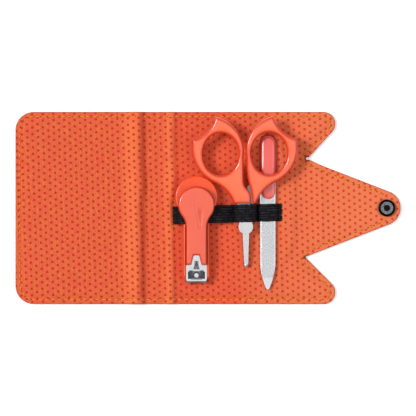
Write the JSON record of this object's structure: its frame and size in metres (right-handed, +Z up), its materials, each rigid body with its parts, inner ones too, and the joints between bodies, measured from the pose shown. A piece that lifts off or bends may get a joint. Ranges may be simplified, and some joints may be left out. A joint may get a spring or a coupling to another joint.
{
  "type": "manicure set case",
  "caption": "Folding sewn case with two pointed ears and a snap flap, opened flat, holding scissors, a nail clipper and a nail file under an elastic band.",
  "frame": {"origin": "middle of the bounding box at its bottom, with the case lying open and flat, inside up", "axes": "+X from the front cover's free edge to the tip of the closing flap, +Y along the fold lines towards the scissors' finger rings, +Z up out of the lining"},
  "size_m": [0.2312, 0.1154, 0.0146],
  "materials": {
    "skin_leather": "fine-grained, satin",
    "board": "grey board, matt",
    "lining_fabric": "printed with small dots, padded",
    "elastic": "ribbed woven elastic, matt",
    "snap_metal": "dark nickel, satin",
    "orange_plastic": "moulded, satin gloss",
    "salmon_plastic": "moulded, satin gloss",
    "polished_steel": "polished",
    "steel": "fine brushed",
    "handle_pink": "translucent, glossy"
  },
  "bodies": {
    "back_panel": {"back_skin": "skin_leather", "back_board": "board", "back_lining": "lining_fabric", "elastic_band": "elastic"},
    "spine": {"spine_skin": "skin_leather", "spine_lining": "lining_fabric"},
    "front_cover": {"front_skin": "skin_leather", "front_board": "board", "front_lining": "lining_fabric", "snap_stud": "snap_metal", "snap_post": "snap_metal"},
    "gusset": {"gusset_skin": "skin_leather", "gusset_lining": "lining_fabric"},
    "flap": {"flap_skin": "skin_leather", "flap_board": "board", "flap_lining": "lining_fabric", "snap_cap": "snap_metal", "snap_socket": "snap_metal"},
    "nail_file": {"file_blade": "steel", "file_handle": "handle_pink"},
    "scissors_left": {"scissor_blade_left": "polished_steel", "scissor_handle_left": "orange_plastic", "scissor_pivot": "steel"},
    "scissors_right": {"scissor_blade_right": "polished_steel", "scissor_handle_right": "orange_plastic"},
    "clipper_base": {"clipper_housing": "orange_plastic", "clipper_lower_jaw": "polished_steel", "clipper_rivet": "steel"},
    "upper_jaw": {"clipper_upper_jaw": "polished_steel"},
    "lever_pin": {"clipper_pin": "polished_steel"},
    "lever": {"clipper_lever": "polished_steel", "lever_cover": "salmon_plastic"}
  },
  "joints": [
    {"name": "spine_fold", "type": "hinge", "parent": "back_panel", "child": "spine", "pos_m": [-0.023, 0, 0.0011], "axis": [0, 1, 0], "range_deg": [0, 90]},
    {"name": "cover_fold", "type": "hinge", "parent": "spine", "child": "front_cover", "pos_m": [-0.03934, 0, 0.0011], "axis": [0, 1, 0], "range_deg": [0, 90]},
    {"name": "gusset_fold", "type": "hinge", "parent": "back_panel", "child": "gusset", "pos_m": [0.0588, 0, 0.0011], "axis": [0, -1, 0], "range_deg": [0, 90]},
    {"name": "flap_fold", "type": "hinge", "parent": "gusset", "child": "flap", "pos_m": [0.07784, 0, 0.0011], "axis": [0, -1, 0], "range_deg": [0, 90]},
    {"name": "file_slide", "type": "slide", "parent": "back_panel", "child": "nail_file", "axis": [0, 1, 0], "range_m": [0, 0.11], "deforming": ["elastic_band"]},
    {"name": "scissors_slide", "type": "slide", "parent": "back_panel", "child": "scissors_left", "axis": [0, 0.9964, 0.0842], "range_m": [0, 0.096], "deforming": ["elastic_band"]},
    {"name": "scissors_open", "type": "hinge", "parent": "scissors_left", "child": "scissors_right", "pos_m": [0.0226, -0.0111, 0.00699], "axis": [0, 0.0842, -0.9964], "range_deg": [0, 35]},
    {"name": "clipper_slide", "type": "slide", "parent": "back_panel", "child": "clipper_base", "axis": [0, -1, 0], "range_m": [0, 0.08], "deforming": ["elastic_band"]},
    {"name": "jaw_press", "type": "hinge", "parent": "clipper_base", "child": "upper_jaw", "pos_m": [-0.0069, -0.002, 0.00575], "axis": [1, 0, 0], "range_deg": [0, 1.9], "stiffness_Nm_per_rad": 1, "springref_deg": -1.15},
    {"name": "lever_swivel", "type": "hinge", "parent": "clipper_base", "child": "lever_pin", "pos_m": [-0.0069, -0.0402, 0.008], "axis": [0, 0, 1], "range_deg": [0, 180]},
    {"name": "lever_tilt", "type": "hinge", "parent": "lever_pin", "child": "lever", "pos_m": [-0.0069, -0.0411, 0.00974], "axis": [1, 0, 0], "range_deg": [0, 150]}
  ]
}
